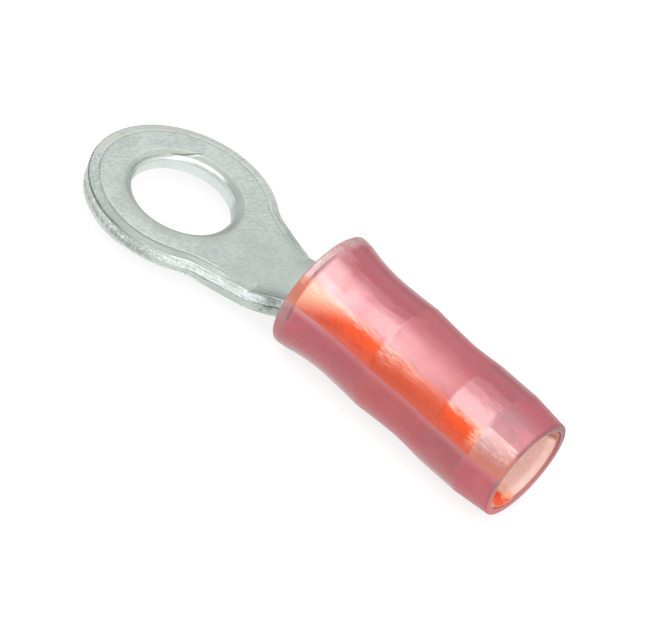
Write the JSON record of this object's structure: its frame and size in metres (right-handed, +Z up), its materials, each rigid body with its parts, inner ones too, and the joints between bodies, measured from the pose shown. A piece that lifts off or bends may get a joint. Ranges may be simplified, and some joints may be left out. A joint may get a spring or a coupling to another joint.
{
  "type": "ring terminal",
  "caption": "Crimp ring terminal: a flat stamped ring that curls up into a rolled wire barrel, inside a copper grip sleeve and a translucent waisted nylon sleeve.",
  "frame": {"origin": "centre of the bounding box's base, under the sleeve's lowest line", "axes": "+X from the ring towards the wire opening, along the barrel; +Z up, square to the flat ring"},
  "size_m": [0.0218, 0.0078, 0.0052],
  "materials": {
    "tinned_copper": "satin tin plate",
    "bare_copper": "plain drawn copper",
    "pink_nylon": "translucent, moulded smooth"
  },
  "bodies": {
    "root": {"ring_tongue": "tinned_copper", "grip_sleeve": "bare_copper", "insulation_sleeve": "pink_nylon"}
  },
  "joints": []
}
